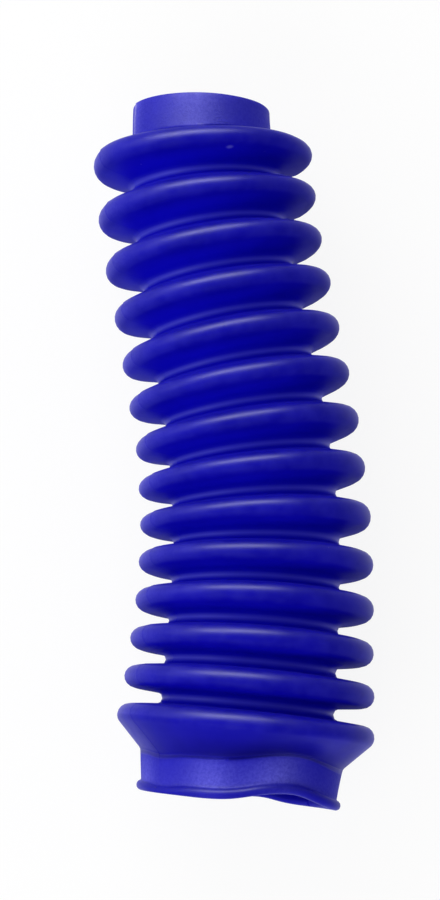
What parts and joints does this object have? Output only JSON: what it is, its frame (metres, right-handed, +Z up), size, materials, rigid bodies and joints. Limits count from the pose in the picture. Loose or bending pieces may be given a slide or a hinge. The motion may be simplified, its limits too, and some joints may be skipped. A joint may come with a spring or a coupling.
{
  "type": "shock absorber dust boot",
  "caption": "One-piece soft bellows boot that keeps dirt off a shock absorber's rod, with a small collar at one end and a wider, beaded collar at the other.",
  "frame": {"origin": "on the floor, under the middle of the boot's bounding box, as it lies on its side", "axes": "+Y from the big collar towards the small collar, +Z up, +X across to the side that the boot bows towards"},
  "size_m": [0.0918, 0.231, 0.0824],
  "materials": {
    "blue_rubber": "satin, smooth moulded"
  },
  "bodies": {
    "root": {"dust_boot": "blue_rubber"}
  },
  "joints": []
}
